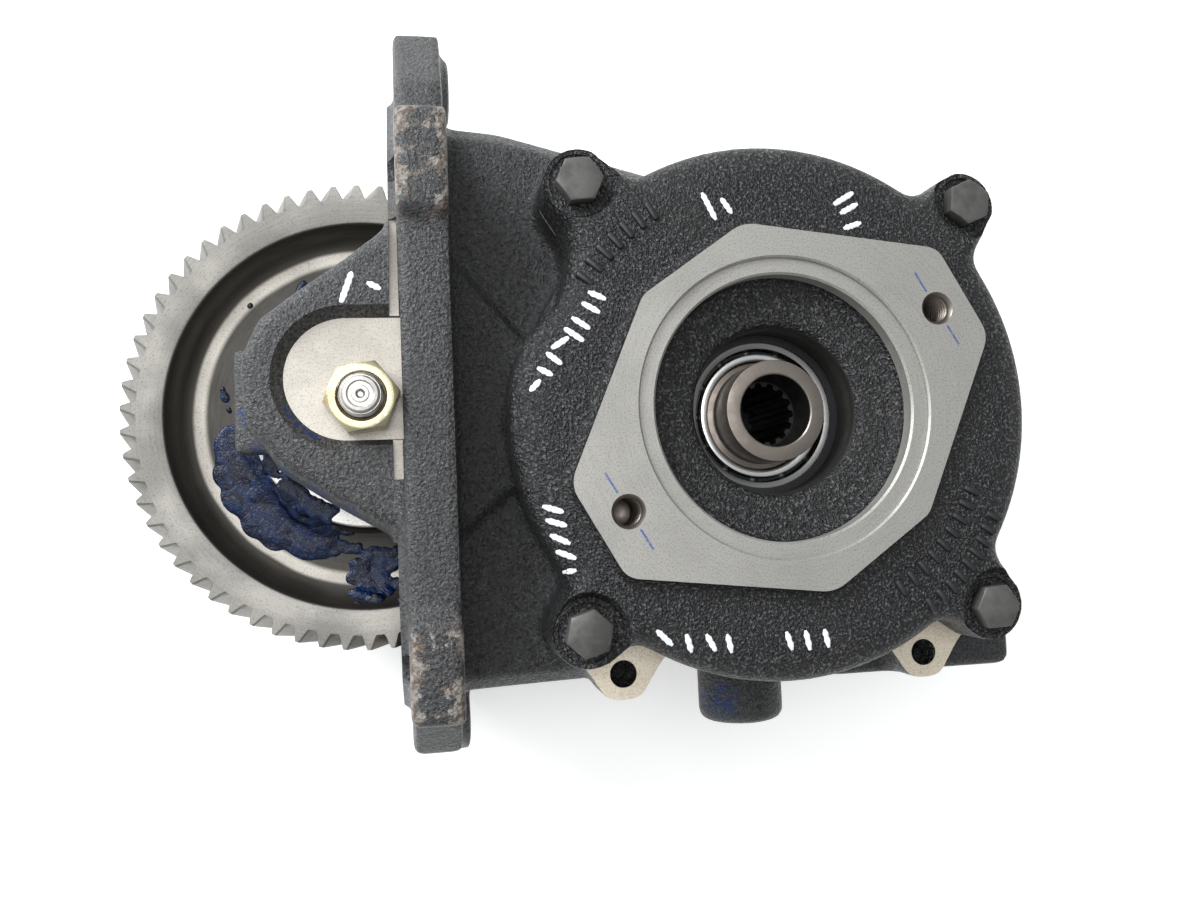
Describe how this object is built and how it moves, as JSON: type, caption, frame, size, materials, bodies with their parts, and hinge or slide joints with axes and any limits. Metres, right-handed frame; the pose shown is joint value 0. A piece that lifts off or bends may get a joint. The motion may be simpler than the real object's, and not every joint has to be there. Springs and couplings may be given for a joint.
{
  "type": "power take-off gearbox",
  "caption": "Two-shaft truck power take-off gearbox: exposed helical input gear in a yoke, side mounting flange, black cast housing and a two-bolt pump pad with splined output.",
  "frame": {"origin": "centre of the base of the bounding box, on the plane the gearbox stands on", "axes": "+Z out of the pump pad along both shafts, +X away from the exposed input gear, +Y towards the longer end of the mounting flange"},
  "size_m": [0.3658, 0.301, 0.154],
  "materials": {
    "black_casting": "rough sand-cast surface under thin black paint, machined faces bare",
    "gear_steel": "case-hardened and ground, satin grey",
    "ground_steel": "ground",
    "bearing_steel": "polished",
    "bolt_steel": "dark phosphate",
    "yellow_zinc": "yellow zinc plating on steel",
    "gasket_paper": "oiled fibre paper",
    "black_oxide": "black oxide",
    "bronze": "plain bronze"
  },
  "bodies": {
    "casing": {"housing": "black_casting", "front_cover": "black_casting", "rear_cap": "black_casting", "idler_shaft": "ground_steel", "dowel_pin_1": "ground_steel", "dowel_pin_2": "ground_steel", "front_bearing_outer_ring": "bearing_steel", "rear_bearing_outer_ring": "bearing_steel", "cover_bolt_tl": "bolt_steel", "cover_bolt_tr": "bolt_steel", "cover_bolt_bl": "bolt_steel", "cover_bolt_br": "bolt_steel", "port_plug": "bolt_steel", "idler_nut": "yellow_zinc", "cover_gasket": "gasket_paper", "rear_cap_gasket": "gasket_paper", "preload_shim": "black_oxide", "bearing_snap_ring": "black_oxide", "rear_cap_screw_1": "black_oxide", "rear_cap_screw_2": "black_oxide", "rear_cap_screw_3": "black_oxide", "rear_cap_screw_4": "black_oxide", "thrust_washer_front": "bronze", "thrust_washer_rear": "bronze"},
    "input_gear": {"input_gear": "gear_steel"},
    "output_assembly": {"output_gear": "gear_steel", "output_shaft": "ground_steel", "shaft_key": "bolt_steel", "spacer_sleeve": "ground_steel", "shaft_snap_ring": "black_oxide", "front_bearing_inner_ring": "bearing_steel", "rear_bearing_inner_ring": "bearing_steel"},
    "front_ball_set": {"front_bearing_ball_cage": "bearing_steel"},
    "rear_ball_set": {"rear_bearing_ball_cage": "bearing_steel"},
    "front_needle_set": {"needle_cage_front": "bearing_steel"},
    "rear_needle_set": {"needle_cage_rear": "bearing_steel"}
  },
  "joints": [
    {"name": "input_gear_spin", "type": "hinge", "parent": "casing", "child": "input_gear", "pos_m": [-0.0861, -0.009, 0.073], "axis": [0, 0, 1], "continuous": true},
    {"name": "output_spin", "type": "hinge", "parent": "casing", "child": "output_assembly", "pos_m": [0.0704, -0.0175, 0.073], "axis": [0, 0, 1], "continuous": true},
    {"name": "front_ball_set_spin", "type": "hinge", "parent": "casing", "child": "front_ball_set", "pos_m": [0.0704, -0.0175, 0.1167], "axis": [0, 0, 1], "continuous": true},
    {"name": "rear_ball_set_spin", "type": "hinge", "parent": "casing", "child": "rear_ball_set", "pos_m": [0.0704, -0.0175, 0.035], "axis": [0, 0, 1], "continuous": true},
    {"name": "front_needle_set_spin", "type": "hinge", "parent": "casing", "child": "front_needle_set", "pos_m": [-0.0861, -0.009, 0.08], "axis": [0, 0, 1], "continuous": true},
    {"name": "rear_needle_set_spin", "type": "hinge", "parent": "casing", "child": "rear_needle_set", "pos_m": [-0.0861, -0.009, 0.066], "axis": [0, 0, 1], "continuous": true}
  ],
  "couplings": [
    {"joint": "output_spin", "follows": "input_gear_spin", "ratio": -1.5},
    {"joint": "front_ball_set_spin", "follows": "input_gear_spin", "ratio": -0.675},
    {"joint": "rear_ball_set_spin", "follows": "input_gear_spin", "ratio": -0.609},
    {"joint": "front_needle_set_spin", "follows": "input_gear_spin", "ratio": 0.555},
    {"joint": "rear_needle_set_spin", "follows": "input_gear_spin", "ratio": 0.555}
  ]
}
